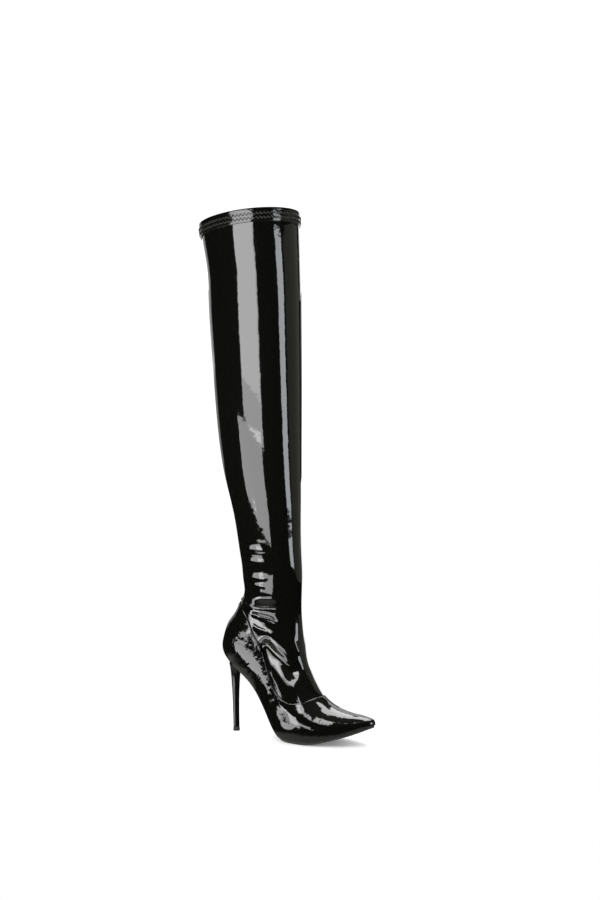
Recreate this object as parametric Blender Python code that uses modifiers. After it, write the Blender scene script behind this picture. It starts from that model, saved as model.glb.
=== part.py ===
"""Thigh high stiletto boot for the right foot, empty and standing on its sole.

Metres, +Z up, +X towards the toe, +Y towards the inner side of the foot.
The origin is on the floor, under the middle of the heel tip.
"""
import bpy
import bmesh
import math
import numpy as np
from mathutils import Vector
from mathutils.bvhtree import BVHTree

# Driving sizes
BOOT_HEIGHT = 0.700        # floor to the top of the collar, at its front
TOE_REACH = 0.210          # middle of the heel tip to the point of the toe
HEEL_HEIGHT = 0.096        # floor to the edge of the upper at the back of the seat
BALL_WIDTH = 0.074         # across the foot at the ball, inside the upper
COLLAR_DEPTH = 0.140       # top opening, front to back
COLLAR_WIDTH = 0.128       # top opening, side to side
UPPER_WALL = 0.0014        # coated upper with its lining
SHAFT_WALL = 0.0012        # stretch leg
OUTSOLE_THICKNESS = 0.003
OUTSOLE_EDGE_ROUNDING = 0.0007
INSOLE_THICKNESS = 0.002
HEM_HEIGHT = 0.018
HEM_WALL = 0.0026          # folded double
HEM_STAND = 0.0009         # how far the hem stands proud of the leg
HEEL_TIP_HEIGHT = 0.005
HEEL_TIP_RADIUS = 0.0047
HEEL_STEM_RADIUS = 0.0043  # just above the tip
TAB_THICKNESS = 0.0018
TAB_FOOT = 0.15            # where the tab starts, as a share of the leg's first strip over the topline
TAB_REACH = 0.46           # half the tab's width, as a share of the column beside the back seam
NOSE_LENGTH = 0.011        # how far back the round of the toe point reaches
SEAT_ROUND_LENGTH = 0.026  # how far forward the round end of the heel seat reaches
FIT_GAP = 0.0003           # between pieces that touch

# How finely the surfaces are divided
COLUMNS_PER_SIDE = 24
UPPER_ROWS = 14
TOE_ROWS = 5               # of the upper's rows, how many climb the point of the toe
COLUMN_HOLD = 5            # how soon the other columns stop following those over toe and back seam
CHORD_FROM = 0.45          # share of the way to the back seam where columns start to follow chords
CHORD_EASE = 0.20
INSTEP_ROWS = 11
LEG_ROWS = 19
HEM_ROWS = 2
SOLE_STRIPS = 6
HEEL_SIDES = 20
TAB_STEPS = 3
FINE_FOOT_PLACES = 100      # of the surface that points are settled on
FINE_LEG_PLACES = 160
FINE_GIRTH_SHARES = 60
SHARP_ANGLE = 40           # degrees between faces that aren't shaded as one

# Sections of the foot, from the toe back to the heel.
# bottom_x and top_x are shares of TOE_REACH, bottom_z of HEEL_HEIGHT, all other
# lengths of BALL_WIDTH. rise is the height of the top of the section over its
# bottom; outer and inner are its half widths, and edge_outer and edge_inner
# those of its flat bottom; swing is the middle's shift to the inner side;
# widest is where it is widest, from bottom to top; low_round and top_round are
# the exponents of its two halves, 2 for an ellipse and more for a fuller one.
FOOT_COLUMNS = ("bottom_x", "bottom_z", "top_x", "rise", "outer", "inner",
                "edge_outer", "edge_inner", "swing", "widest", "low_round", "top_round")
FOOT_SECTIONS = {
    "toe point":   (0.988, 0.295, 0.990, 0.075, 0.10, 0.10, 0.09, 0.09, 0.05, 0.45, 2.2, 1.9),
    "toe":         (0.943, 0.257, 0.935, 0.165, 0.16, 0.16, 0.14, 0.14, 0.05, 0.42, 2.2, 1.8),
    "toe rear":    (0.876, 0.196, 0.862, 0.274, 0.25, 0.26, 0.23, 0.24, 0.04, 0.40, 2.2, 1.75),
    "vamp front":  (0.785, 0.132, 0.770, 0.407, 0.36, 0.37, 0.34, 0.345, 0.02, 0.37, 2.2, 1.75),
    "vamp":        (0.680, 0.064, 0.668, 0.620, 0.46, 0.46, 0.43, 0.42, 0.01, 0.34, 2.2, 1.75),
    "ball":        (0.570, 0.012, 0.604, 0.845, 0.51, 0.49, 0.47, 0.44, 0.00, 0.33, 2.2, 1.8),
    "ball rear":   (0.458, 0.012, 0.581, 0.995, 0.50, 0.44, 0.44, 0.36, 0.00, 0.34, 2.2, 1.85),
    "shank foot":  (0.384, 0.074, 0.550, 1.072, 0.47, 0.40, 0.38, 0.29, 0.00, 0.38, 2.2, 1.9),
    "shank low":   (0.326, 0.240, 0.525, 1.040, 0.44, 0.39, 0.32, 0.24, 0.00, 0.42, 2.2, 1.9),
    "shank":       (0.265, 0.460, 0.508, 0.940, 0.41, 0.38, 0.28, 0.23, 0.00, 0.46, 2.2, 1.9),
    "shank top":   (0.197, 0.680, 0.497, 0.840, 0.39, 0.38, 0.26, 0.24, 0.00, 0.49, 2.2, 1.9),
    "seat front":  (0.122, 0.835, 0.490, 0.810, 0.38, 0.38, 0.255, 0.25, 0.00, 0.50, 2.2, 1.9),
    "seat":        (0.038, 0.935, 0.485, 0.850, 0.37, 0.37, 0.245, 0.245, 0.00, 0.50, 2.3, 1.95),
    "seat rear":   (-0.036, 1.000, 0.481, 0.930, 0.365, 0.365, 0.23, 0.23, 0.00, 0.50, 2.4, 1.95),
}
SEAT_REAR = len(FOOT_SECTIONS) - 1

# Sections of the leg, from the heel up to the collar.
# back_z and front_z are shares of the height from HEEL_HEIGHT to BOOT_HEIGHT,
# front_x of TOE_REACH, depth of COLLAR_DEPTH and half_width of COLLAR_WIDTH.
LEG_COLUMNS = ("back_z", "front_z", "front_x", "depth", "half_width", "low_round")
LEG_SECTIONS = {
    "counter low":  (0.027, 0.136, 0.481, 0.854, 0.212, 2.4),
    "counter":      (0.056, 0.158, 0.482, 0.832, 0.219, 2.4),
    "counter high": (0.089, 0.177, 0.483, 0.771, 0.228, 2.3),
    "counter top":  (0.118, 0.191, 0.482, 0.670, 0.237, 2.2),
    "topline back": (0.136, 0.201, 0.480, 0.640, 0.242, 2.1),
    "ankle notch":  (0.150, 0.210, 0.480, 0.592, 0.246, 2.0),
    "ankle":        (0.170, 0.221, 0.477, 0.600, 0.250, 2.0),
    "ankle high":   (0.203, 0.244, 0.472, 0.608, 0.258, 2.0),
    "calf foot":    (0.247, 0.274, 0.468, 0.632, 0.271, 2.0),
    "calf low":     (0.323, 0.334, 0.467, 0.684, 0.297, 2.0),
    "calf":         (0.404, 0.407, 0.464, 0.774, 0.344, 2.0),
    "calf high":    (0.485, 0.485, 0.461, 0.834, 0.379, 2.0),
    "knee":         (0.584, 0.584, 0.459, 0.874, 0.410, 2.0),
    "knee high":    (0.702, 0.702, 0.455, 0.907, 0.434, 2.0),
    "thigh":        (0.806, 0.812, 0.450, 0.929, 0.453, 2.0),
    "thigh high":   (0.890, 0.906, 0.441, 0.936, 0.473, 2.0),
    "hem foot":     (0.930, 0.954, 0.434, 0.967, 0.492, 2.0),
    "collar":       (0.973, 1.000, 0.432, 1.000, 0.500, 2.0),
}
ANKLE_STATION = SEAT_REAR + 9     # above it the rows of the leg run level

# Topline of the upper, from the ridge of the instep to the back seam: share of
# the way along it, the station it crosses, and how far round the girth it is there
TOPLINE = (
    (0.00, 4.55, 0.00),
    (0.11, 5.20, 0.31),
    (0.18, 6.25, 0.45),
    (0.25, 7.45, 0.55),
    (0.32, 8.50, 0.63),
    (0.40, 9.45, 0.65),
    (0.49, 10.5, 0.61),
    (0.57, 11.6, 0.55),
    (0.65, 12.8, 0.50),
    (0.73, 14.1, 0.50),
    (0.80, 15.4, 0.57),
    (0.87, 16.8, 0.74),
    (1.00, 18.0, 1.00),
)
TOPLINE_FRONT_SPACING = 0.45      # of its columns at the ridge, as a share of their mean spacing

# Heel, from its tip to the seat. height is a share of the way up, shift is the
# middle's way back, and half_length and half_width are multiples of HEEL_STEM_RADIUS
HEEL_COLUMNS = ("height", "shift", "half_length", "half_width")
HEEL_SECTIONS = (
    (0.00, 0.00, 1.00, 1.00),
    (0.38, 0.16, 1.02, 1.04),
    (0.62, 0.26, 1.16, 1.22),
    (0.78, 0.32, 1.34, 1.44),
    (0.88, 0.36, 1.50, 1.66),
    (0.95, 0.38, 1.66, 1.98),
    (1.00, 0.38, 1.86, 2.34),
)

COLOURS = {
    "outsole": ((0.020, 0.020, 0.019), 0.45),
    "insole": ((0.050, 0.046, 0.043), 0.70),
    "upper": ((0.008, 0.008, 0.008), 0.07),
    "shaft": ((0.008, 0.008, 0.008), 0.08),
    "collar_hem": ((0.008, 0.008, 0.008), 0.12),
    "heel": ((0.010, 0.010, 0.010), 0.15),
    "heel_tip": ((0.022, 0.022, 0.022), 0.60),
    "back_tab": ((0.008, 0.008, 0.008), 0.12),
}


# Sections

def all_sections():
    """Every section in metres: one row each, toe first."""
    rows = []
    for shares in FOOT_SECTIONS.values():
        part = dict(zip(FOOT_COLUMNS, shares))
        bottom_z = part["bottom_z"] * HEEL_HEIGHT
        rows.append([part["bottom_x"] * TOE_REACH, bottom_z,
                     part["top_x"] * TOE_REACH, bottom_z + part["rise"] * BALL_WIDTH,
                     part["outer"] * BALL_WIDTH, part["inner"] * BALL_WIDTH,
                     part["edge_outer"] * BALL_WIDTH, part["edge_inner"] * BALL_WIDTH,
                     part["swing"] * BALL_WIDTH, part["widest"], part["low_round"], part["top_round"]])
    seat_edge = rows[-1][6]
    leg = BOOT_HEIGHT - HEEL_HEIGHT
    for shares in LEG_SECTIONS.values():
        part = dict(zip(LEG_COLUMNS, shares))
        front = part["front_x"] * TOE_REACH
        half = part["half_width"] * COLLAR_WIDTH
        rows.append([front - part["depth"] * COLLAR_DEPTH,
                     HEEL_HEIGHT + part["back_z"] * leg,
                     front, HEEL_HEIGHT + part["front_z"] * leg,
                     half, half, seat_edge, seat_edge, 0.0, 0.5, part["low_round"], 2.0])
    return np.array(rows)


def spline_curvatures(knots, values):
    """Second derivatives of the natural cubic spline through values at knots."""
    count = len(knots)
    step = np.diff(knots)
    matrix = np.eye(count)
    right = np.zeros_like(values)
    for i in range(1, count - 1):
        matrix[i, i - 1] = step[i - 1]
        matrix[i, i] = 2 * (step[i - 1] + step[i])
        matrix[i, i + 1] = step[i]
        slope_after = (values[i + 1] - values[i]) / step[i]
        slope_before = (values[i] - values[i - 1]) / step[i - 1]
        right[i] = 6 * (slope_after - slope_before)
    return np.linalg.solve(matrix, right)


def spline_value(knots, values, curvatures, at):
    """The spline's value at one place."""
    i = int(np.clip(np.searchsorted(knots, at) - 1, 0, len(knots) - 2))
    step = knots[i + 1] - knots[i]
    before = (knots[i + 1] - at) / step
    after = (at - knots[i]) / step
    bend = ((before ** 3 - before) * curvatures[i] + (after ** 3 - after) * curvatures[i + 1])
    return before * values[i] + after * values[i + 1] + bend * step * step / 6


SECTIONS = all_sections()
MIDDLES = (SECTIONS[:, 0:2] + SECTIONS[:, 2:4]) / 2
STATIONS = np.concatenate([[0], np.cumsum(np.linalg.norm(np.diff(MIDDLES, axis=0), axis=1))])
CURVATURES = spline_curvatures(STATIONS, SECTIONS)
SEAT_END = STATIONS[SEAT_REAR]
COLLAR = STATIONS[-1]
FLAT_LEVEL = OUTSOLE_THICKNESS + FIT_GAP   # where the edge of the upper runs over the flat of the sole


def station(number):
    """Place along the boot of a station number, which may lie between two sections."""
    return float(np.interp(number, range(len(STATIONS)), STATIONS))


def quarter_round(share):
    """Rises from 0 to 1 like a quarter of an ellipse."""
    share = min(max(share, 0.0), 1.0)
    return math.sqrt(share * (2 - share))


def section_at(place):
    """The section at a place along the boot, with the round ends of toe and seat."""
    row = spline_value(STATIONS, SECTIONS, CURVATURES, place)
    row[1] = max(row[1], FLAT_LEVEL)
    nose = quarter_round(place / NOSE_LENGTH)
    row[4:8] = row[4:8] * nose
    seat = quarter_round((SEAT_END - place) / SEAT_ROUND_LENGTH)
    row[6:8] = row[6:8] * seat
    return row


def half_outline(row, side, steps=28):
    """Half a section from the ridge down to its bottom edge: distance up the section, and out."""
    outer, inner, edge_outer, edge_inner, _, widest, low_round, top_round = row[4:12]
    half = outer if side < 0 else inner
    edge = edge_outer if side < 0 else edge_inner
    ratio = min(edge / half, 0.995) if half > 0 else 0.0
    angle = np.linspace(math.pi / 2, 0, steps)
    up = widest + (1 - widest) * np.sin(angle) ** (2 / top_round)
    out = half * np.abs(np.cos(angle)) ** (2 / top_round)
    reach = widest / (1 - ratio ** low_round) ** (1 / low_round)
    last = math.asin((widest / reach) ** (low_round / 2))
    angle = np.linspace(0, last, steps)[1:]
    low_up = widest - reach * np.sin(angle) ** (2 / low_round)
    low_out = half * np.abs(np.cos(angle)) ** (2 / low_round)
    return np.concatenate([up, low_up]), np.concatenate([out, low_out])


def surface_point(place, around, side):
    """Point of the last and leg: around is 0 on the ridge and 1 at the sole's edge or back seam."""
    row = section_at(place)
    up, out = half_outline(row, side)
    bottom = row[0:2]
    top = row[2:4]
    span = np.linalg.norm(top - bottom)
    walked = np.concatenate([[0], np.cumsum(np.hypot(np.diff(up) * span, np.diff(out)))])
    here_up = np.interp(around * walked[-1], walked, up)
    here_out = np.interp(around * walked[-1], walked, out)
    flat = bottom + (top - bottom) * here_up
    return Vector((flat[0], row[8] + side * here_out, flat[1]))


def topline_at(along):
    """Place along the boot, and share of the girth, of the topline at a column of the mesh."""
    closeness = 2 - 2 * TOPLINE_FRONT_SPACING
    share = TOPLINE_FRONT_SPACING * along + closeness * (along ** 3 - along ** 4 / 2)
    table = np.array(TOPLINE)
    curved = spline_curvatures(table[:, 0], table[:, 1:3])
    number, around = spline_value(table[:, 0], table[:, 1:3], curved, share)
    return station(number), min(around, 1.0)


def sole_share(share):
    """Spreads places along the sole's edge closer at the toe point and the seat."""
    return 0.5 - 0.5 * math.cos(math.pi * share)


# Patches of the surface

def columns():
    """Around the boot from the toe over the outer side, the back and the inner side."""
    for i in range(2 * COLUMNS_PER_SIDE):
        if i <= COLUMNS_PER_SIDE:
            yield i / COLUMNS_PER_SIDE, -1
        else:
            yield 2 - i / COLUMNS_PER_SIDE, 1


def whole_surface():
    """The whole last and leg, finely divided, for points to be settled on."""
    places = [SEAT_END * sole_share(i / FINE_FOOT_PLACES) for i in range(FINE_FOOT_PLACES)]
    places += list(np.linspace(SEAT_END, COLLAR, FINE_LEG_PLACES))
    shares = [i / FINE_GIRTH_SHARES for i in range(FINE_GIRTH_SHARES + 1)]
    wide = 2 * len(shares) - 1
    points = []
    faces = []
    for row, place in enumerate(places):
        points += [surface_point(place, share, -1) for share in reversed(shares)]
        points += [surface_point(place, share, 1) for share in shares[1:]]
        if row:
            for i in range(wide - 1):
                faces.append(((row - 1) * wide + i, row * wide + i,
                              row * wide + i + 1, (row - 1) * wide + i + 1))
    return BVHTree.FromPolygons(points, faces)


def upper_point(whole, along, climb, side):
    """Point of the upper between its edge on the sole (climb 0) and its topline (climb 1)."""
    corner = TOE_ROWS / UPPER_ROWS
    crown, _ = topline_at(0.0)
    back, _ = topline_at(1.0)
    edge = (SEAT_END * sole_share(along), 1.0)
    line = topline_at(along)
    if climb < corner:
        toe = (0.0, 1 - climb / corner)
    else:
        toe = (crown * (climb - corner) / (1 - corner), 0.0)
    straight_toe = (crown * climb, 1 - climb)
    hold = (1 - along) ** COLUMN_HOLD
    place, around = [(1 - climb) * edge[k] + climb * line[k] + hold * (toe[k] - straight_toe[k])
                     for k in range(2)]
    by_girth = surface_point(max(place, 0.0), min(max(around, 0.0), 1.0), side)
    if climb in (0, 1) or along == 0:
        return by_girth
    seam = surface_point(SEAT_END + (back - SEAT_END) * climb, 1.0, side)
    if along == 1:
        return seam
    chord = surface_point(*edge, side).lerp(surface_point(*line, side), climb)
    back_chord = surface_point(SEAT_END, 1.0, side).lerp(surface_point(back, 1.0, side), climb)
    by_chord = chord + (seam - back_chord) * along ** COLUMN_HOLD
    ease = min(max((along - CHORD_FROM) / CHORD_EASE, 0.0), 1.0)
    mixed = by_girth.lerp(by_chord, ease * ease * (3 - 2 * ease))
    return whole.find_nearest(mixed)[0] if ease > 0 else by_girth


def upper_rows(whole):
    """Rings of points of the upper, from the sole's edge to the topline."""
    return [[upper_point(whole, along, row / UPPER_ROWS, side) for along, side in columns()]
            for row in range(UPPER_ROWS + 1)]


def shaft_rows(whole, lap):
    """Rings of points of the leg, from its lap under the upper to the hem."""
    level = station(ANKLE_STATION)
    top = COLLAR - HEM_HEIGHT - FIT_GAP
    topline = [surface_point(*topline_at(along), side) for along, side in columns()]
    ankle = [surface_point(level, along, side) for along, side in columns()]
    rows = [lap, topline]
    for row in range(1, INSTEP_ROWS):
        share = row / INSTEP_ROWS
        rows.append([whole.find_nearest(low.lerp(high, share))[0] for low, high in zip(topline, ankle)])
    for row in range(LEG_ROWS + 1):
        place = level + (top - level) * row / LEG_ROWS
        rows.append([surface_point(place, along, side) for along, side in columns()])
    return rows


def hem_rows():
    """Rings of points of the hem."""
    return [[surface_point(COLLAR - HEM_HEIGHT * (1 - row / HEM_ROWS), along, side)
             for along, side in columns()] for row in range(HEM_ROWS + 1)]


def tab_rows(low, high):
    """Patch of the leg's back between two of its rings, just over the topline."""
    back = COLUMNS_PER_SIDE
    rows = []
    for climb in (TAB_FOOT, 1.0):
        middle = low[back].lerp(high[back], climb)
        row = []
        for step in range(-TAB_STEPS, TAB_STEPS + 1):
            beside = back + (1 if step > 0 else -1)
            aside = low[beside].lerp(high[beside], climb)
            row.append(middle.lerp(aside, TAB_REACH * abs(step) / TAB_STEPS))
        rows.append(row)
    return rows


# Meshes

def new_object(name, mesh):
    """Object with its own material, in the boot's collection."""
    material = bpy.data.materials.new(name)
    material.use_nodes = True
    colour, roughness = COLOURS[name]
    shader = material.node_tree.nodes["Principled BSDF"]
    shader.inputs["Base Color"].default_value = (*colour, 1)
    shader.inputs["Roughness"].default_value = roughness
    shader.inputs["Metallic"].default_value = 0
    mesh.materials.append(material)
    mesh.shade_smooth()
    mesh.set_sharp_from_angle(angle=math.radians(SHARP_ANGLE))
    made = bpy.data.objects.new(name, mesh)
    boot_collection.objects.link(made)
    return made


def ring_mesh(name, rows, closed, shift):
    """Open surface through rows of points, moved out along its normals by shift."""
    form = bmesh.new()
    grid = [[form.verts.new(point) for point in row] for row in rows]
    wide = len(grid[0])
    for low, high in zip(grid, grid[1:]):
        for i in range(wide if closed else wide - 1):
            after = (i + 1) % wide
            form.faces.new((low[i], high[i], high[after], low[after]))
    form.normal_update()
    moved = [vert.co + vert.normal * shift for vert in form.verts]
    for vert, place in zip(form.verts, moved):
        vert.co = place
    mesh = bpy.data.meshes.new(name)
    form.to_mesh(mesh)
    form.free()
    return mesh


def shell(name, rows, wall, outward, shift=0.0, closed=True):
    """Hollow piece: a surface with a wall grown outwards or inwards."""
    made = new_object(name, ring_mesh(name, rows, closed, shift))
    solid = made.modifiers.new("wall", "SOLIDIFY")
    solid.thickness = wall
    solid.offset = 1 if outward else -1
    solid.use_even_offset = True
    return made


def sole_edge(grow):
    """Outline of the sole: outer and inner points from toe to seat, grown outwards in plan."""
    stops = [SEAT_END * sole_share(i / COLUMNS_PER_SIDE) for i in range(COLUMNS_PER_SIDE + 1)]
    loop = [surface_point(stop, 1.0, -1) for stop in stops]
    loop += [surface_point(stop, 1.0, 1) for stop in reversed(stops[1:-1])]
    grown = []
    for i, point in enumerate(loop):
        along = loop[(i + 1) % len(loop)] - loop[i - 1]
        out = Vector((along.y, -along.x, 0)).normalized()
        grown.append(point - out * grow)
    outer = grown[:COLUMNS_PER_SIDE + 1]
    inner = [grown[0]] + list(reversed(grown[COLUMNS_PER_SIDE + 1:])) + [grown[COLUMNS_PER_SIDE]]
    return outer, inner


def sole_layer(grow, lift):
    """Grid of points across the sole, raised square to its bottom line by lift."""
    outer, inner = sole_edge(grow)
    middles = [(left + right) / 2 for left, right in zip(outer, inner)]
    rows = []
    for i, (left, right) in enumerate(zip(outer, inner)):
        before = middles[max(i - 1, 0)]
        after = middles[min(i + 1, len(middles) - 1)]
        along = Vector((before.x - after.x, 0, before.z - after.z))
        if abs(left.z - FLAT_LEVEL) < FIT_GAP / 10:
            along.z = 0
        square = Vector((-along.z, 0, along.x)).normalized()
        rows.append([left.lerp(right, j / SOLE_STRIPS) + square * lift for j in range(SOLE_STRIPS + 1)])
    return rows


def slab(name, low_rows, high_rows):
    """Closed slab between two grids whose first and last rows are single points."""
    form = bmesh.new()
    layers = []
    for rows in (low_rows, high_rows):
        grid = []
        for k, row in enumerate(rows):
            if k in (0, len(rows) - 1):
                grid.append([form.verts.new(row[0])] * len(row))
            else:
                grid.append([form.verts.new(point) for point in row])
        layers.append(grid)
    low, high = layers
    last = len(low[0]) - 1
    for k in range(len(low) - 1):
        for j in range(last):
            for grid, turn in ((low, 1), (high, -1)):
                corners = [grid[k][j], grid[k][j + 1], grid[k + 1][j + 1], grid[k + 1][j]]
                corners = list(dict.fromkeys(corners))
                form.faces.new(corners[::turn])
        for j, turn in ((0, 1), (last, -1)):
            corners = [low[k][j], low[k + 1][j], high[k + 1][j], high[k][j]]
            form.faces.new(corners[::turn])
    bmesh.ops.recalc_face_normals(form, faces=form.faces)
    mesh = bpy.data.meshes.new(name)
    form.to_mesh(mesh)
    form.free()
    return new_object(name, mesh)


def seat_height(x):
    """Height of the outsole's underside over a place on the floor, at the seat."""
    rows = sole_layer(-FIT_GAP, -FIT_GAP - OUTSOLE_THICKNESS)
    middle = [row[SOLE_STRIPS // 2] for row in rows]
    middle.sort(key=lambda point: point.x)
    return float(np.interp(x, [point.x for point in middle], [point.z for point in middle]))


# Pieces

def make_outsole():
    low = sole_layer(-FIT_GAP - OUTSOLE_EDGE_ROUNDING, -FIT_GAP - OUTSOLE_THICKNESS)
    high = sole_layer(-FIT_GAP, -FIT_GAP)
    return slab("outsole", low, high)


def make_insole():
    return slab("insole", sole_layer(-FIT_GAP, 0.0), sole_layer(-FIT_GAP, INSOLE_THICKNESS))


def make_heel():
    """Slim heel: rings from the tip up to the slope of the seat."""
    base = HEEL_TIP_HEIGHT + FIT_GAP
    form = bmesh.new()
    rings = []
    for shares in HEEL_SECTIONS:
        part = dict(zip(HEEL_COLUMNS, shares))
        ring = []
        for i in range(HEEL_SIDES):
            angle = 2 * math.pi * i / HEEL_SIDES
            x = HEEL_STEM_RADIUS * (part["half_length"] * math.cos(angle) - part["shift"])
            y = HEEL_STEM_RADIUS * part["half_width"] * math.sin(angle)
            top = seat_height(x) - FIT_GAP
            ring.append(form.verts.new((x, y, base + (top - base) * part["height"])))
        rings.append(ring)
    for low, high in zip(rings, rings[1:]):
        for i in range(HEEL_SIDES):
            after = (i + 1) % HEEL_SIDES
            form.faces.new((low[i], low[after], high[after], high[i]))
    form.faces.new(rings[0][::-1])
    middle_x = sum(vert.co.x for vert in rings[-1]) / HEEL_SIDES
    crown = form.verts.new((middle_x, 0, seat_height(middle_x) - FIT_GAP))
    for i in range(HEEL_SIDES):
        form.faces.new((rings[-1][i], rings[-1][(i + 1) % HEEL_SIDES], crown))
    mesh = bpy.data.meshes.new("heel")
    form.to_mesh(mesh)
    form.free()
    return new_object("heel", mesh)


def make_heel_tip():
    form = bmesh.new()
    bmesh.ops.create_cone(form, cap_ends=True, segments=HEEL_SIDES, radius1=HEEL_TIP_RADIUS,
                          radius2=HEEL_STEM_RADIUS, depth=HEEL_TIP_HEIGHT)
    bmesh.ops.translate(form, verts=form.verts, vec=(0, 0, HEEL_TIP_HEIGHT / 2))
    mesh = bpy.data.meshes.new("heel_tip")
    form.to_mesh(mesh)
    form.free()
    return new_object("heel_tip", mesh)


def make_boot():
    make_outsole()
    make_insole()
    whole = whole_surface()
    upper = upper_rows(whole)
    shell("upper", upper, UPPER_WALL, outward=True)
    leg = shaft_rows(whole, upper[-2])
    shell("shaft", leg, SHAFT_WALL, outward=False, shift=-FIT_GAP)
    shell("collar_hem", hem_rows(), HEM_WALL, outward=False, shift=HEM_STAND)
    shell("back_tab", tab_rows(leg[1], leg[2]), TAB_THICKNESS, outward=True, shift=FIT_GAP, closed=False)
    make_heel()
    make_heel_tip()


for old in list(bpy.data.objects):
    bpy.data.objects.remove(old)
boot_collection = bpy.data.collections.new("thigh_high_boot")
bpy.context.scene.collection.children.link(boot_collection)
make_boot()
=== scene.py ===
"""Looks of the thigh high boot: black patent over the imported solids, creases, stitching and studio light."""
import math

import bmesh
import bpy
import numpy as np
from mathutils import Matrix, Vector
from mathutils.bvhtree import BVHTree


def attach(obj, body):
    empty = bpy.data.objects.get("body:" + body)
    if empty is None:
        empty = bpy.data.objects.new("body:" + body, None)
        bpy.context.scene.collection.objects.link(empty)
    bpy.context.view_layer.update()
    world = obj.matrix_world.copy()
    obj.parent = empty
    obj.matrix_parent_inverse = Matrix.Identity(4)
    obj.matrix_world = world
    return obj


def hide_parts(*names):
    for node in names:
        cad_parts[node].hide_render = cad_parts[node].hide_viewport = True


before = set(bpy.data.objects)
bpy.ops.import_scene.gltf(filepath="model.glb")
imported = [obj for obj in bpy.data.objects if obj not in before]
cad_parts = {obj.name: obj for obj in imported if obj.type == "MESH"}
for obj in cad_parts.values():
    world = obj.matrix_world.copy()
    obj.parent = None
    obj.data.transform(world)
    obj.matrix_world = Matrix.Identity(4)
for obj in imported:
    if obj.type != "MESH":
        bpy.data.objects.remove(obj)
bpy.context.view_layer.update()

MM = 0.001

# Middle line of the boot in millimetres (x, z), from collar to toe: folds push out from it or in to it
BOOT_MIDDLE = ((23, 700), (28, 600), (33, 500), (38, 400), (45, 330), (52, 270), (58, 215), (62, 180),
               (68, 150), (76, 120), (88, 90), (103, 65), (125, 42), (160, 28), (200, 30))

WELD = 0.01                       # points closer than this, in millimetres, are the same
RIM_ANGLE = math.radians(55)      # an edge that turns more than this is the rim of a wall
BEVEL_ANGLE = math.radians(40)    # an edge that turns more than this gets a bevel
INNER_FACING = -0.2               # a face that looks inwards more than this belongs to the lining


# Tools

def bare():
    """Nothing selected, in object mode."""
    if bpy.context.object and bpy.context.object.mode != "OBJECT":
        bpy.ops.object.mode_set(mode="OBJECT")
    bpy.ops.object.select_all(action="DESELECT")


def take_up(piece):
    """The only selected and active object."""
    bare()
    piece.select_set(True)
    bpy.context.view_layer.objects.active = piece


def copy_of_solid(node, name):
    """Copy of a CAD node with its loose triangles joined up into quads."""
    piece = bpy.data.objects.new(name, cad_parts[node].data.copy())
    bpy.context.scene.collection.objects.link(piece)
    take_up(piece)
    bpy.ops.object.mode_set(mode="EDIT")
    bpy.ops.mesh.select_all(action="SELECT")
    bpy.ops.mesh.remove_doubles(threshold=WELD * MM)
    bpy.ops.mesh.tris_convert_to_quads(face_threshold=math.pi, shape_threshold=math.pi)
    bpy.ops.object.mode_set(mode="OBJECT")
    piece.data.materials.clear()
    return piece


def round_off(piece, rounds):
    """Subdivision surface, applied."""
    take_up(piece)
    modifier = piece.modifiers.new("rounded", "SUBSURF")
    modifier.levels = rounds
    modifier.render_levels = rounds
    bpy.ops.object.modifier_apply(modifier=modifier.name)
    bpy.ops.object.shade_smooth()


def bevel_off(piece, width, rounds):
    """Narrow bevel on the sharp edges, then a subdivision surface, both applied."""
    take_up(piece)
    bevel = piece.modifiers.new("edges", "BEVEL")
    bevel.width = width * MM
    bevel.segments = 2
    bevel.limit_method = "ANGLE"
    bevel.angle_limit = BEVEL_ANGLE
    bpy.ops.object.modifier_apply(modifier=bevel.name)
    round_off(piece, rounds)


def rim_loops(piece):
    """Closed loops of places, in millimetres, along the rims of a thin-walled piece, highest first."""
    form = bmesh.new()
    form.from_mesh(piece.data)
    beside = {}
    for edge in form.edges:
        if len(edge.link_faces) == 2 and edge.calc_face_angle() > RIM_ANGLE:
            first, second = edge.verts
            beside.setdefault(first.index, []).append(second.index)
            beside.setdefault(second.index, []).append(first.index)
    places = [np.array(vert.co) / MM for vert in form.verts]
    form.free()
    loops = []
    unused = set(beside)
    while unused:
        loop = [min(unused)]
        unused.discard(loop[0])
        while True:
            after = [i for i in beside[loop[-1]] if i in unused]
            if not after:
                break
            loop.append(after[0])
            unused.discard(after[0])
        loops.append(np.array([places[i] for i in loop]))
    return sorted(loops, key=lambda loop: -loop[:, 2].max())


def outer_rim(loops):
    """The longer of the two highest rims: the one on the outside of the wall."""
    def girth(loop):
        return np.linalg.norm(np.diff(loop, axis=0), axis=1).sum()
    return max(loops[:2], key=girth)


def closed(loop):
    """A loop of places that ends where it starts."""
    return np.vstack([loop, loop[:1]])


def evenly(loop, count):
    """Evenly spaced places round a loop."""
    path = closed(loop)
    walked = np.concatenate([[0], np.cumsum(np.linalg.norm(np.diff(path, axis=0), axis=1))])
    stops = np.linspace(0, walked[-1], count, endpoint=False)
    return np.array([[np.interp(stop, walked, path[:, axis]) for axis in range(3)] for stop in stops])


def surface_of(piece):
    """Search tree of a finished piece, in metres."""
    mesh = piece.data
    places = [vert.co for vert in mesh.vertices]
    return BVHTree.FromPolygons(places, [face.vertices for face in mesh.polygons])


def points_of(piece):
    """Places of all points of a piece, in metres."""
    places = np.empty(len(piece.data.vertices) * 3)
    piece.data.vertices.foreach_get("co", places)
    return places.reshape(-1, 3)


def set_points(piece, places):
    """Moves the points of a piece to new places, in metres."""
    piece.data.vertices.foreach_set("co", places.ravel())
    piece.data.update()


def finish_piece(piece, material, slot, *nodes):
    """Gives a piece its material and body, and hides the CAD nodes it stands for. The slot is not used."""
    piece.data.materials.append(material)
    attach(piece, "root")
    if nodes:
        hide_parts(*nodes)


# Folds

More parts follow.
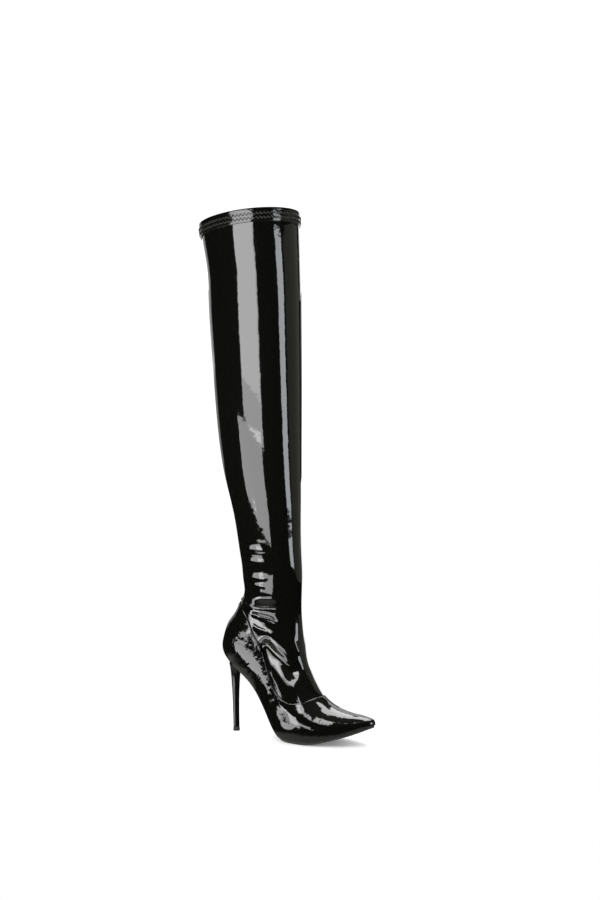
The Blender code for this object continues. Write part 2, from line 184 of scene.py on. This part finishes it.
INNER_SHIFT = (3, 4)              # how far a fold of the inner side lies further front and further up
INNER_WIDTH = 1.1                 # its width and height, as shares of those of the outer side
INNER_HEIGHT = 0.9
NO_FADE = (1e-6, 1e-6)


def nearest_on_path(places, path):
    """Distance from each place to a path, how far along the path that is, from 0 to 1, and the spot there."""
    path = np.array(path, float)
    lengths = np.linalg.norm(np.diff(path, axis=0), axis=1)
    starts = np.concatenate([[0], np.cumsum(lengths)])
    best = np.full(len(places), np.inf)
    along = np.zeros(len(places))
    spots = np.zeros_like(places)
    for i, length in enumerate(lengths):
        way = (path[i + 1] - path[i]) / length
        share = np.clip((places - path[i]) @ way, 0, length)
        spot = path[i] + share[:, None] * way
        far = np.linalg.norm(places - spot, axis=1)
        closer = far < best
        best[closer] = far[closer]
        along[closer] = (starts[i] + share[closer]) / starts[-1]
        spots[closer] = spot[closer]
    return best, along, spots


def outwards(places):
    """Direction from the middle of the leg or foot out to each place."""
    _, _, spots = nearest_on_path(places, [(x, 0, z) for x, z in BOOT_MIDDLE])
    out = places - spots
    return out / np.maximum(np.linalg.norm(out, axis=1), 1e-6)[:, None]


def fold(piece, folds):
    """Pushes the points of a piece out along ridges and in along troughs.

    A fold is a path in millimetres, its width, its height, which is negative in a trough, and the shares
    of its length over which it fades in and out.
    """
    places = points_of(piece) / MM
    push = np.zeros(len(places))
    for path, width, height, ends in folds:
        far, along, _ = nearest_on_path(places, path)
        fade_in, fade_out = ends
        taper = np.minimum(np.clip(along / fade_in, 0, 1), np.clip((1 - along) / fade_out, 0, 1))
        taper = taper * taper * (3 - 2 * taper)
        push += height * np.exp(-(far / width) ** 2) * taper
    set_points(piece, (places + outwards(places) * push[:, None]) * MM)


def both_sides(folds):
    """The folds of the outer side, and slightly other ones on the inner side."""
    inner = []
    for path, width, height, ends in folds:
        other = [(x + INNER_SHIFT[0], -y, z + INNER_SHIFT[1]) for x, y, z in path]
        inner.append((other, width * INNER_WIDTH, height * INNER_HEIGHT, ends))
    return list(folds) + inner


# Shaders

SURFACE_VALUES = ("Roughness", "Smudges", "Wave size", "Wave height", "Grain size", "Grain height")
SMUDGE_SIZE = 38                  # noise scale, as the sizes of wave and grain are
SMUDGES_FROM_TO = (0.45, 0.75)    # the part of the noise that shows as smudges
WAVE_REACH = 0.002                # depth of the bump in metres at full height
GRAIN_REACH = 0.0003


def material_named(name):
    """New material, its nodes, its links and its main shader."""
    material = bpy.data.materials.new(name)
    material.use_nodes = True
    nodes = material.node_tree.nodes
    return material, nodes, material.node_tree.links, nodes["Principled BSDF"]


def surface_group():
    """Fine unevenness of a coated surface: roughness with smudges, and a normal with waves and grain."""
    group = bpy.data.node_groups.new("coated surface", "ShaderNodeTree")
    face = group.interface
    for name in SURFACE_VALUES:
        face.new_socket(name, in_out="INPUT", socket_type="NodeSocketFloat")
    face.new_socket("Roughness", in_out="OUTPUT", socket_type="NodeSocketFloat")
    face.new_socket("Normal", in_out="OUTPUT", socket_type="NodeSocketVector")
    nodes, links = group.nodes, group.links
    given = nodes.new("NodeGroupInput")
    result = nodes.new("NodeGroupOutput")
    where = nodes.new("ShaderNodeTexCoord")
    smudge = nodes.new("ShaderNodeTexNoise")
    smudge.inputs["Scale"].default_value = SMUDGE_SIZE
    smudge.inputs["Detail"].default_value = 4
    links.new(where.outputs["Object"], smudge.inputs["Vector"])
    stretch = nodes.new("ShaderNodeMapRange")
    stretch.inputs["From Min"].default_value = SMUDGES_FROM_TO[0]
    stretch.inputs["From Max"].default_value = SMUDGES_FROM_TO[1]
    links.new(smudge.outputs["Fac"], stretch.inputs["Value"])
    amount = nodes.new("ShaderNodeMath")
    amount.operation = "MULTIPLY_ADD"
    links.new(stretch.outputs["Result"], amount.inputs[0])
    links.new(given.outputs["Smudges"], amount.inputs[1])
    links.new(given.outputs["Roughness"], amount.inputs[2])
    links.new(amount.outputs[0], result.inputs["Roughness"])
    normal = None
    for size, height, detail, reach in (("Wave size", "Wave height", 2, WAVE_REACH),
                                        ("Grain size", "Grain height", 3, GRAIN_REACH)):
        noise = nodes.new("ShaderNodeTexNoise")
        noise.inputs["Detail"].default_value = detail
        links.new(where.outputs["Object"], noise.inputs["Vector"])
        links.new(given.outputs[size], noise.inputs["Scale"])
        bump = nodes.new("ShaderNodeBump")
        bump.inputs["Distance"].default_value = reach
        links.new(given.outputs[height], bump.inputs["Strength"])
        links.new(noise.outputs["Fac"], bump.inputs["Height"])
        if normal is not None:
            links.new(normal, bump.inputs["Normal"])
        normal = bump.outputs["Normal"]
    links.new(normal, result.inputs["Normal"])
    return group


COATED = surface_group()


def coated(name, colour, roughness, smudges, wave, grain, coat=0.0):
    """Black patent and other smooth finishes: wave and grain are each a size and a height."""
    material, nodes, links, shader = material_named(name)
    shader.inputs["Base Color"].default_value = (*colour, 1)
    shader.inputs["Specular IOR Level"].default_value = 0.5
    shader.inputs["Coat Weight"].default_value = coat
    shader.inputs["Coat Roughness"].default_value = 0.03
    shader.inputs["Coat IOR"].default_value = 1.5
    surface = nodes.new("ShaderNodeGroup")
    surface.node_tree = COATED
    for value_name, value in zip(SURFACE_VALUES, (roughness, smudges, *wave, *grain)):
        surface.inputs[value_name].default_value = value
    links.new(surface.outputs["Roughness"], shader.inputs["Roughness"])
    links.new(surface.outputs["Normal"], shader.inputs["Normal"])
    if coat:
        links.new(surface.outputs["Normal"], shader.inputs["Coat Normal"])
    return material


PATENT_BLACK = (0.0021, 0.0023, 0.0019)
PATENT_FOOT = coated("patent of the foot", PATENT_BLACK, 0.05, 0.04, (60, 0.30), (420, 0.14), coat=0.5)
PATENT_LEG = coated("stretch patent of the leg", PATENT_BLACK, 0.05, 0.04, (48, 0.13), (300, 0.05), coat=0.5)
PATENT_HEM = coated("patent of the hem", PATENT_BLACK, 0.08, 0.06, (120, 0.30), (420, 0.20), coat=0.3)
LINING = coated("brushed lining", (0.020, 0.019, 0.018), 0.85, 0.05, (90, 0.20), (2600, 0.80))
SOLE = coated("black sole", (0.030, 0.030, 0.029), 0.48, 0.14, (120, 0.10), (1800, 0.35))
SOCK = coated("insole sock", (0.045, 0.041, 0.038), 0.72, 0.08, (80, 0.10), (2200, 0.50))
HEEL_COVER = coated("heel cover", (0.0025, 0.0025, 0.0024), 0.12, 0.05, (60, 0.06), (1400, 0.06), coat=0.4)
TIP_RUBBER = coated("heel tip rubber", (0.022, 0.022, 0.022), 0.62, 0.12, (150, 0.05), (2000, 0.30))
THREAD = coated("sewing thread", (0.012, 0.012, 0.011), 0.28, 0.05, (200, 0.05), (3000, 0.40))


# Leg

RIPPLE_FADE = (0.3, 0.4)
SHORT_FADE = (0.35, 0.35)
FOLDS_OF_LEG = [
    # ripples over the ankle: thin crests and troughs
    (((34, -31, 259), (56, -35, 258), (72, -30, 257)), 3.0, 0.30, RIPPLE_FADE),
    (((34, -31, 249), (56, -35, 248), (72, -30, 248)), 3.0, -0.45, RIPPLE_FADE),
    (((36, -31, 245), (57, -34, 244), (72, -30, 244)), 2.5, 0.25, RIPPLE_FADE),
    (((36, -31, 234), (57, -34, 233), (72, -30, 235)), 3.0, -0.45, RIPPLE_FADE),
    (((38, -31, 221), (57, -32, 220), (72, -29, 221)), 3.0, 0.25, RIPPLE_FADE),
    (((38, -31, 212), (57, -32, 211), (72, -29, 213)), 2.5, -0.40, RIPPLE_FADE),
    (((42, -31, 202), (58, -31, 202), (72, -28, 200)), 2.5, -0.35, RIPPLE_FADE),
    # broad ridge between the ripples and the creases
    (((38, -28, 185), (57, -28, 186), (74, -26, 185), (84, -21, 184)), 6.0, 0.90, (0.2, 0.3)),
    # creases that fan out from the notch over the heel
    (((36, -28, 173), (52, -28, 172), (68, -25, 172), (88, -17, 171)), 1.8, -0.60, (0.1, 0.2)),
    (((40, -28, 164), (57, -26, 160), (71, -24, 157), (82, -21, 150)), 2.6, -1.10, (0.1, 0.3)),
    (((42, -27, 149), (51, -27, 144), (63, -26, 141), (76, -24, 138)), 2.4, -1.00, (0.1, 0.3)),
    # long valley down the instep
    (((52, -27, 130), (62, -27, 119), (73, -27, 111), (85, -26, 103), (98, -23, 93), (111, -17, 82)),
     11.0, -5.6, (0.15, 0.2)),
    # small ridges beside the topline and at the front of the ankle
    (((54, -28, 124), (62, -28, 112), (70, -29, 98), (77, -29, 88)), 2.0, 0.8, (0.2, 0.3)),
    (((96, -15, 133), (101, -12, 122), (106, -8, 109)), 3.6, 1.2, SHORT_FADE),
    (((91, -15, 176), (90, -15, 164), (90, -16, 153)), 2.4, 0.8, SHORT_FADE),
]
FOLDED_FROM_TO = (179, 262)       # heights at the back seam between which the leg's mesh is refined
SEAM_HALF = 0.05                  # how far to either side a point still lies on the back seam
SEAM_FRONT = 30                   # edges further front than this aren't at the back
EDGE_LEAST = 0.3                  # an edge that rises less than this runs round the leg
HIDDEN_RISE = 5                   # how far the leg's top runs up under the hem


def raise_top(piece, rise):
    """Lifts the two highest rims of a piece."""
    rims = np.vstack(rim_loops(piece)[:2])
    places = points_of(piece)
    at_top = np.abs(places[:, None] / MM - rims[None]).sum(axis=2).min(axis=1) < WELD
    places[at_top, 2] += rise * MM
    set_points(piece, places)


def refine_rings(piece, low, high):
    """Cuts each ring of faces of the outer wall in two, between two heights at the back seam."""
    def at_seam(vert):
        _, y, z = np.array(vert.co) / MM
        return abs(y) < SEAM_HALF and low <= z <= high

    take_up(piece)
    bpy.ops.object.mode_set(mode="EDIT")
    bpy.ops.mesh.select_mode(type="EDGE")
    bpy.ops.mesh.select_all(action="DESELECT")
    form = bmesh.from_edit_mesh(piece.data)
    for edge in form.edges:
        first, second = edge.verts
        if at_seam(first) and at_seam(second) and edge.calc_face_angle(0) < RIM_ANGLE:
            middle = (first.co + second.co) / 2
            rises = abs((first.co - second.co).z) > EDGE_LEAST * MM
            faces_back = (first.normal + second.normal).x < 0
            if rises and faces_back and middle.x < SEAM_FRONT * MM:
                edge.select_set(True)
    form.select_flush_mode()
    bmesh.update_edit_mesh(piece.data)
    bpy.ops.mesh.loop_multi_select(ring=True)
    bpy.ops.mesh.subdivide(number_cuts=1, smoothness=1.0)
    bpy.ops.object.mode_set(mode="OBJECT")
    bpy.ops.object.shade_smooth()


def line_inside(piece, material):
    """Gives the inner wall of a piece its own material."""
    mesh = piece.data
    centres = np.array([face.center for face in mesh.polygons]) / MM
    normals = np.array([face.normal for face in mesh.polygons])
    inner = (outwards(centres) * normals).sum(axis=1) < INNER_FACING
    mesh.materials.append(material)
    mesh.polygons.foreach_set("material_index", inner.astype(int))


leg = copy_of_solid("shaft", "leg")
raise_top(leg, HIDDEN_RISE)
round_off(leg, 2)
refine_rings(leg, *FOLDED_FROM_TO)
fold(leg, both_sides(FOLDS_OF_LEG))
finish_piece(leg, PATENT_LEG, "patent_leg", "shaft")
line_inside(leg, LINING)


# Foot

SIDE_SEAM = ((80, -33, 61), (74, -32, 55), (68, -30, 48), (63, -28, 40), (60, -26, 33))
INNER_SEAM = [(x, -y, z) for x, y, z in SIDE_SEAM]
SEAM_WIDTH = 0.8
SEAM_HEIGHT = 0.35
SEAM_FADE = (0.05, 0.05)
VAMP_SWELL = ((78, -33, 50), (96, -36, 46), (112, -37, 40), (126, -36, 33))

foot = copy_of_solid("upper", "foot_upper")
topline = outer_rim(rim_loops(foot))
round_off(foot, 2)
fold(foot, [
    # raised edge all along the topline
    (closed(topline), 1.0, 0.55, NO_FADE),
    # soft swell low on the vamp's outer side
    (VAMP_SWELL, 8.0, 0.9, (0.3, 0.3)),
    (SIDE_SEAM, SEAM_WIDTH, SEAM_HEIGHT, SEAM_FADE),
    (INNER_SEAM, SEAM_WIDTH, SEAM_HEIGHT, SEAM_FADE),
])
finish_piece(foot, PATENT_FOOT, "patent_foot", "upper")
line_inside(foot, LINING)


# Hem, tab, sole, sock and heel: the solids with their sharp edges bevelled, in millimetres

def edged_piece(node, name, bevel, material, slot, rounds=1):
    """Copy of a solid with its sharp edges bevelled."""
    piece = copy_of_solid(node, name)
    bevel_off(piece, bevel, rounds)
    finish_piece(piece, material, slot, node)


hem = copy_of_solid("collar_hem", "collar_band")
hem_top = outer_rim(rim_loops(hem))
bevel_off(hem, 0.6, 1)
finish_piece(hem, PATENT_HEM, "patent_trim", "collar_hem")

edged_piece("back_tab", "heel_loop", 0.4, PATENT_HEM, "patent_trim", rounds=2)
edged_piece("outsole", "sole_edge", 0.4, SOLE, "sole")
edged_piece("insole", "insole_sock", 0.4, SOCK, "insole")
edged_piece("heel", "stiletto", 0.3, HEEL_COVER, "heel")
edged_piece("heel_tip", "tip", 0.3, TIP_RUBBER, "heel_tip")


# Stitching, in millimetres

HEM_TEETH = 84
HEM_ROWS = (6.0, 11.6)            # how far under the collar's edge the two rows of zigzag start
HEM_TOOTH = 3.6                   # how far each tooth reaches down
HEM_STITCH = (4.2, 1.1)           # length and thickness
HEM_RISE = 0.25                   # how far the middle of the thread stands off the patent

TOPLINE_COUNT = 132
TOPLINE_DROP = 2.6                # how far under the topline the stitches lie
TOPLINE_FILL = 0.85               # share of its step that a stitch fills
TOPLINE_STITCH = (1.9, 0.85)
TOPLINE_RISE = 0.08
TOPLINE_POINTS = 200              # places along the topline at which its drop is worked out


def one_stitch(length, thick):
    """Stitch lying along X, thickest in the middle."""
    bare()
    bpy.ops.mesh.primitive_cylinder_add(vertices=6, radius=thick * MM / 2, depth=length * MM,
                                        rotation=(0, math.pi / 2, 0))
    stitch = bpy.context.object
    bpy.ops.object.transform_apply(location=False, rotation=True, scale=False)
    bpy.ops.object.mode_set(mode="EDIT")
    bpy.ops.mesh.select_all(action="SELECT")
    bpy.ops.mesh.bevel(offset=thick * MM * 0.2, segments=1)
    bpy.ops.object.mode_set(mode="OBJECT")
    bpy.ops.object.shade_smooth()
    stitch.name = "stitch"
    return stitch


def sew(name, size, lines, surface, rise):
    """Copies of one stitch along pairs of places, lying on a surface, joined into one piece."""
    stitch = one_stitch(*size)
    made = []
    for start, end in lines:
        start, _, _, _ = surface.find_nearest(Vector(start) * MM)
        end, _, _, _ = surface.find_nearest(Vector(end) * MM)
        middle, normal, _, _ = surface.find_nearest((start + end) / 2)
        along = (end - start).normalized()
        across = normal.cross(along).normalized()
        up = along.cross(across)
        turn = Matrix((along, across, up)).transposed().to_4x4()
        copy = stitch.copy()
        bpy.context.scene.collection.objects.link(copy)
        copy.matrix_world = Matrix.Translation(middle + normal * rise * MM) @ turn
        made.append(copy)
    bare()
    for copy in made:
        copy.select_set(True)
    bpy.context.view_layer.objects.active = made[0]
    bpy.ops.object.make_single_user(object=True, obdata=True)
    bpy.ops.object.transform_apply(location=True, rotation=True, scale=True)
    bpy.ops.object.join()
    piece = bpy.context.object
    piece.name = name
    finish_piece(piece, THREAD, "patent_trim")
    bpy.data.objects.remove(stitch)


def dashes(loop, count, fill):
    """Start and end of each of count stitches round a loop."""
    ends = evenly(loop, count * 2)
    pairs = []
    for start, end in zip(ends[::2], ends[1::2]):
        gap = (end - start) * (1 - fill) / 2
        pairs.append((start + gap, end - gap))
    return pairs


def zigzag(loop, count, depth):
    """Start and end of each stitch of a zigzag with count teeth round a loop."""
    corners = evenly(loop, count * 2)
    corners[::2, 2] -= depth
    return [(corners[i], corners[(i + 1) % len(corners)]) for i in range(len(corners))]


def lowered(loop, drop):
    """A loop round the foot moved down over the upper, square to itself."""
    moved = []
    for i, place in enumerate(loop):
        along = loop[(i + 1) % len(loop)] - loop[i - 1]
        down = np.cross(outwards(place[None])[0], along / np.linalg.norm(along))
        if down[2] > 0:
            down = -down
        moved.append(place + down * drop)
    return np.array(moved)


hem_lines = []
for row in HEM_ROWS:
    hem_lines += zigzag(hem_top - (0, 0, row), HEM_TEETH, HEM_TOOTH)
sew("hem_zigzag", HEM_STITCH, hem_lines, surface_of(hem), HEM_RISE)

stitch_path = lowered(evenly(topline, TOPLINE_POINTS), TOPLINE_DROP)
topline_lines = dashes(stitch_path, TOPLINE_COUNT, TOPLINE_FILL)
sew("topline_stitches", TOPLINE_STITCH, topline_lines, surface_of(foot), TOPLINE_RISE)


# Stage, in metres

BOOT_CENTRE = 0.05                # x of the spot on the floor that table and lights are set round
FLOOR_WIDE = 12
FLOOR_DROP = 0.0002               # how far the table lies under the boot
FLOOR_TONE = 0.95
WHITENS_FROM_TO = (0.12, 0.36)    # distances between which the table goes over to pure white
WHITE_LEAST = 0.15                # share of pure white under the boot

ROOM_BELOW = (0.40, 0.41, 0.37)   # what gloss sees of the room straight below and straight above
ROOM_ABOVE = (0.12, 0.13, 0.11)
# between the two, how far up a direction points, from 0 to 1, and how grey it is
ROOM_GREYS = ((0.26, 0.36), (0.30, 0.012), (0.70, 0.012), (0.85, 0.05))
ROOM_TINT = (1, 1.04, 0.94)
ROOM_BRIGHT = 1.1                 # strength of the white for the camera and for soft light


def pale_floor():
    """White table, pure white to the camera away from the boot, and clear to rays in gloss."""
    bare()
    bpy.ops.mesh.primitive_plane_add(size=FLOOR_WIDE, location=(BOOT_CENTRE, 0, -FLOOR_DROP))
    floor = bpy.context.object
    floor.name = "floor"
    material, nodes, links, shader = material_named("pale floor")
    shader.inputs["Base Color"].default_value = (FLOOR_TONE, FLOOR_TONE, FLOOR_TONE, 1)
    shader.inputs["Roughness"].default_value = 0.30
    where = nodes.new("ShaderNodeTexCoord")
    reach = nodes.new("ShaderNodeVectorMath")
    reach.operation = "LENGTH"
    links.new(where.outputs["Object"], reach.inputs[0])
    far = nodes.new("ShaderNodeMapRange")
    far.inputs["From Min"].default_value = WHITENS_FROM_TO[0]
    far.inputs["From Max"].default_value = WHITENS_FROM_TO[1]
    far.inputs["To Min"].default_value = WHITE_LEAST
    far.inputs["To Max"].default_value = 1.0
    links.new(reach.outputs["Value"], far.inputs["Value"])
    ray = nodes.new("ShaderNodeLightPath")
    glow = nodes.new("ShaderNodeEmission")
    links.new(ray.outputs["Is Camera Ray"], glow.inputs["Strength"])
    blend = nodes.new("ShaderNodeMixShader")
    links.new(far.outputs["Result"], blend.inputs["Fac"])
    links.new(shader.outputs["BSDF"], blend.inputs[1])
    links.new(glow.outputs["Emission"], blend.inputs[2])
    clear = nodes.new("ShaderNodeBsdfTransparent")
    seen = nodes.new("ShaderNodeMixShader")
    links.new(ray.outputs["Is Glossy Ray"], seen.inputs["Fac"])
    links.new(blend.outputs["Shader"], seen.inputs[1])
    links.new(clear.outputs["BSDF"], seen.inputs[2])
    links.new(seen.outputs["Shader"], nodes["Material Output"].inputs["Surface"])
    floor.data.materials.append(material)


def studio_air():
    """White to the camera and for soft light, and near black in gloss except far down and far up."""
    world = bpy.data.worlds.new("studio")
    bpy.context.scene.world = world
    world.use_nodes = True
    nodes, links = world.node_tree.nodes, world.node_tree.links
    ray = nodes.new("ShaderNodeLightPath")
    dark = nodes["Background"]
    where = nodes.new("ShaderNodeTexCoord")
    split = nodes.new("ShaderNodeSeparateXYZ")
    links.new(where.outputs["Generated"], split.inputs["Vector"])
    tone = nodes.new("ShaderNodeValToRGB")
    lowest, highest = tone.color_ramp.elements
    lowest.position = 0.0
    lowest.color = (*ROOM_BELOW, 1)
    highest.position = 1.0
    highest.color = (*ROOM_ABOVE, 1)
    for position, grey in ROOM_GREYS:
        tone.color_ramp.elements.new(position).color = (*(grey * part for part in ROOM_TINT), 1)
    # halves the height of a direction, from -1 to 1, and lifts it to run from 0 to 1
    half = nodes.new("ShaderNodeMath")
    half.operation = "MULTIPLY_ADD"
    half.inputs[1].default_value = 0.5
    half.inputs[2].default_value = 0.5
    links.new(split.outputs["Z"], half.inputs[0])
    links.new(half.outputs[0], tone.inputs["Fac"])
    links.new(tone.outputs["Color"], dark.inputs["Color"])
    bright = nodes.new("ShaderNodeBackground")
    bright.inputs["Color"].default_value = (1, 1, 1, 1)
    bright.inputs["Strength"].default_value = ROOM_BRIGHT
    seen = nodes.new("ShaderNodeMath")
    seen.operation = "MAXIMUM"
    links.new(ray.outputs["Is Camera Ray"], seen.inputs[0])
    links.new(ray.outputs["Is Diffuse Ray"], seen.inputs[1])
    blend = nodes.new("ShaderNodeMixShader")
    links.new(seen.outputs[0], blend.inputs["Fac"])
    links.new(dark.outputs["Background"], blend.inputs[1])
    links.new(bright.outputs["Background"], blend.inputs[2])
    links.new(blend.outputs["Shader"], nodes["World Output"].inputs["Surface"])


def softbox(name, turn, distance, low, high, wide, radiance, colour=(1, 1, 1), lean=0.0, lift=0.0):
    """Rectangular light that faces the boot, turn degrees round it as the camera's turn is counted.

    It hangs from low to high and leans by some degrees in its own plane. Lift tips it to look down, at 90
    straight down, about its middle.
    """
    tall = high - low
    lamp = bpy.data.lights.new(name, "AREA")
    lamp.shape = "RECTANGLE"
    lamp.size = wide
    lamp.size_y = tall
    lamp.energy = radiance * math.pi * wide * tall
    lamp.color = colour
    box = bpy.data.objects.new(name, lamp)
    bpy.context.scene.collection.objects.link(box)
    angle = math.radians(turn)
    middle = (BOOT_CENTRE + distance * math.sin(angle), -distance * math.cos(angle), (low + high) / 2)
    facing = Matrix.Rotation(angle, 4, "Z") @ Matrix.Rotation(math.radians(90 - lift), 4, "X")
    box.matrix_world = Matrix.Translation(middle) @ facing @ Matrix.Rotation(math.radians(lean), 4, "Z")
    box.visible_camera = False


pale_floor()
studio_air()

# Lights on the photograph's side. Most hang close, so that leg, ankle and vamp each reflect their own.
# What lies under the table still shows in gloss
softbox("wide softbox", 4, 0.5, 0.36, 0.85, 0.375, 4.8, lean=-6)
softbox("upper softbox", 3, 0.53, 0.45, 0.87, 0.385, 1.8, lean=-6)
softbox("lower softbox", -9, 0.3, 0.225, 0.392, 0.28, 4.3, lean=-6)
softbox("far table", -37, 1.9, -0.56, -0.245, 1.30, 4.4, lean=8)
softbox("near table", -12, 0.6, -0.05, 0.065, 0.46, 4.2)
softbox("vamp fill", -15, 0.215, 0.0, 0.055, 0.12, 3.4)

# Narrow strip down the front of the leg, and dim cards beside and behind the boot
softbox("strip softbox", 87, 2.0, 0.15, 1.12, 0.63, 5.2, colour=(0.93, 0.96, 1.0))
softbox("flank card", 134, 2.4, 0.00, 1.30, 3.00, 0.22, colour=(1.0, 1.0, 0.88))
softbox("rim softbox", 239, 2.0, 0.55, 1.10, 1.00, 0.60)
softbox("low rim card", 239, 2.1, 0.15, 0.60, 1.00, 0.35)
softbox("back softbox", 200, 2.6, 0.10, 0.90, 1.60, 0.30)
softbox("vamp card", 195, 2.0, -0.15, 0.30, 1.40, 1.4)
softbox("toe card", 205, 1.6, 0.80, 2.20, 1.60, 1.6)

# Lights overhead that look straight down
softbox("top softbox", 131, 0.53, 1.35, 2.15, 0.50, 6.5, lift=90)
softbox("rear top softbox", 188, 0.75, 1.20, 2.30, 0.50, 6.5, lift=90)


# Camera: level, at the height and angle of the photograph

CAMERA_PLACE = (0.9373, -1.4507, 0.381)
CAMERA_TURN = 30
CAMERA_LENS = 50.7
SENSOR_WIDTH = 36

camera = bpy.data.objects.new("camera", bpy.data.cameras.new("camera"))
bpy.context.scene.collection.objects.link(camera)
camera.location = CAMERA_PLACE
camera.rotation_euler = (math.radians(90), 0, math.radians(CAMERA_TURN))
camera.data.lens = CAMERA_LENS
camera.data.sensor_width = SENSOR_WIDTH
bpy.context.scene.camera = camera
bpy.context.scene.view_settings.view_transform = "Standard"
